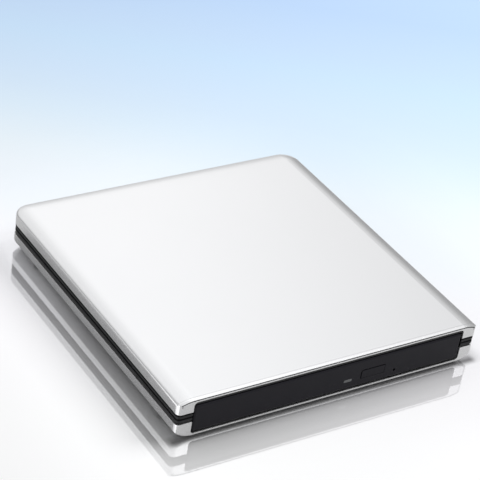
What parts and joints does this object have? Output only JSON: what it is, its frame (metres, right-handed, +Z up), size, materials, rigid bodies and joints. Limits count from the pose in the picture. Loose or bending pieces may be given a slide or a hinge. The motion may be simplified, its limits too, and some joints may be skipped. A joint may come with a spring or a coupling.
{
  "type": "external disc drive",
  "caption": "Slim portable disc drive with a silver case, a ribbed black side band, and a sliding tray with its full mechanism inside.",
  "frame": {"origin": "middle of the case's bounding box, on the surface that the rubber feet stand on", "axes": "+X to the right along the front, +Y from the tray front towards the rear inlet, +Z up"},
  "size_m": [0.143, 0.144, 0.0187],
  "materials": {
    "silver_shell": "satin silver lacquer",
    "band_plastic": "smooth black with a soft shine",
    "bezel_plastic": "fine grained satin black",
    "button_plastic": "fine grained satin black",
    "light_plastic": "smoky translucent",
    "tray_plastic": "fine grained black",
    "guide_plastic": "natural white, slightly waxy",
    "sheet_steel": "zinc plated, rolled",
    "bright_steel": "ground and bright",
    "screw_steel": "dark zinc",
    "motor_copper": "enamelled copper windings",
    "screw_brass": "turned",
    "foot_rubber": "matt black",
    "damper_rubber": "soft, matt",
    "circuit_board": "green solder mask",
    "chip_plastic": "moulded black",
    "connector_plastic": "moulded black",
    "ribbon_film": "white film with printed tracks",
    "carriage_metal": "die cast",
    "lens_glass": "clear, coated"
  },
  "bodies": {
    "case": {"top_cover": "silver_shell", "bottom_cover": "silver_shell", "side_band": "band_plastic", "rubber_feet": "foot_rubber", "case_screws": "screw_steel", "drive_brackets": "sheet_steel", "bracket_screws": "screw_steel", "bridge_board": "circuit_board", "bridge_chips": "chip_plastic", "board_screws": "screw_steel", "inlet_socket": "bright_steel", "sata_receptacle": "connector_plastic", "drive_chassis": "sheet_steel", "drive_lid": "sheet_steel", "lid_screws": "screw_steel", "left_rail_guide": "guide_plastic", "right_rail_guide": "guide_plastic", "connector_board": "circuit_board", "drive_connector": "connector_plastic", "ribbon_socket": "connector_plastic", "catch_post": "bright_steel"},
    "left_rail": {"left_rail": "bright_steel"},
    "right_rail": {"right_rail": "bright_steel"},
    "tray": {"disc_tray": "tray_plastic", "bezel": "bezel_plastic", "light_lens": "light_plastic", "traverse_cover": "sheet_steel", "traverse_frame": "sheet_steel", "damper_grommets": "damper_rubber", "traverse_screws": "screw_steel", "tray_bottom_plate": "sheet_steel", "plate_screws": "screw_steel", "spindle_stator": "motor_copper", "main_guide_rod": "bright_steel", "side_guide_rod": "bright_steel", "sled_motor": "bright_steel", "main_board": "circuit_board", "board_chips": "chip_plastic", "tray_ribbon_socket": "connector_plastic", "front_board": "circuit_board", "eject_switch": "connector_plastic", "solenoid_body": "motor_copper", "ejector_housing": "tray_plastic", "ribbon_cable": "ribbon_film"},
    "spindle": {"disc_hub": "bright_steel", "turntable_pad": "damper_rubber"},
    "claw_1": {"hub_claw_1": "guide_plastic"},
    "claw_2": {"hub_claw_2": "guide_plastic"},
    "claw_3": {"hub_claw_3": "guide_plastic"},
    "sled": {"pickup_carriage": "carriage_metal", "lead_nut": "guide_plastic"},
    "lens": {"lens_holder": "tray_plastic", "objective_lens": "lens_glass"},
    "lead_screw": {"lead_screw": "screw_brass"},
    "button": {"eject_button": "button_plastic"},
    "lever": {"lock_lever": "bright_steel"},
    "plunger": {"solenoid_plunger": "bright_steel"},
    "ejector": {"ejector_pin": "guide_plastic", "ejector_spring": "bright_steel"}
  },
  "joints": [
    {"name": "tray_slide", "type": "slide", "parent": "case", "child": "tray", "axis": [0, -1, 0], "range_m": [0, 0.127], "deforming": ["ribbon_cable"]},
    {"name": "left_rail_slide", "type": "slide", "parent": "case", "child": "left_rail", "axis": [0, -1, 0], "range_m": [0, 0.0635]},
    {"name": "right_rail_slide", "type": "slide", "parent": "case", "child": "right_rail", "axis": [0, -1, 0], "range_m": [0, 0.0635]},
    {"name": "eject_press", "type": "slide", "parent": "tray", "child": "button", "axis": [0, 1, 0], "range_m": [0, 0.0005], "stiffness_N_per_m": 600},
    {"name": "spindle_spin", "type": "hinge", "parent": "tray", "child": "spindle", "pos_m": [0, -0.0055, 0.0116], "axis": [0, 0, 1], "continuous": true},
    {"name": "claw_1_slide", "type": "slide", "parent": "spindle", "child": "claw_1", "axis": [0.6428, -0.766, 0], "range_m": [-0.0006, 0], "stiffness_N_per_m": 400},
    {"name": "claw_2_slide", "type": "slide", "parent": "spindle", "child": "claw_2", "axis": [0.342, 0.9397, 0], "range_m": [-0.0006, 0], "stiffness_N_per_m": 400},
    {"name": "claw_3_slide", "type": "slide", "parent": "spindle", "child": "claw_3", "axis": [-0.9848, -0.1736, 0], "range_m": [-0.0006, 0], "stiffness_N_per_m": 400},
    {"name": "sled_slide", "type": "slide", "parent": "tray", "child": "sled", "axis": [0.6428, -0.766, 0], "range_m": [0, 0.035]},
    {"name": "lead_screw_turn", "type": "hinge", "parent": "tray", "child": "lead_screw", "pos_m": [0.02227, -0.00326, 0.0075], "axis": [0.6428, -0.766, 0], "range_deg": [0, 4202]},
    {"name": "lens_focus", "type": "slide", "parent": "sled", "child": "lens", "axis": [0, 0, 1], "range_m": [-0.0004, 0.0004], "stiffness_N_per_m": 40},
    {"name": "lock_turn", "type": "hinge", "parent": "tray", "child": "lever", "pos_m": [0.0275, -0.0615, 0.00335], "axis": [0, 0, 1], "range_deg": [-14, 0]},
    {"name": "plunger_slide", "type": "slide", "parent": "tray", "child": "plunger", "axis": [1, 0, 0], "range_m": [-0.00056, 0]},
    {"name": "ejector_slide", "type": "slide", "parent": "tray", "child": "ejector", "axis": [0, 1, 0], "range_m": [0, 0.0081], "deforming": ["ejector_spring"]}
  ],
  "couplings": [
    {"joint": "left_rail_slide", "follows": "tray_slide", "ratio": 0.5},
    {"joint": "right_rail_slide", "follows": "tray_slide", "ratio": 0.5},
    {"joint": "lead_screw_turn", "follows": "sled_slide", "rad_per_m": 2094.4},
    {"joint": "lock_turn", "follows": "plunger_slide", "rad_per_m": 434.78},
    {"joint": "ejector_slide", "follows": "tray_slide", "ratio": 0.06299}
  ]
}
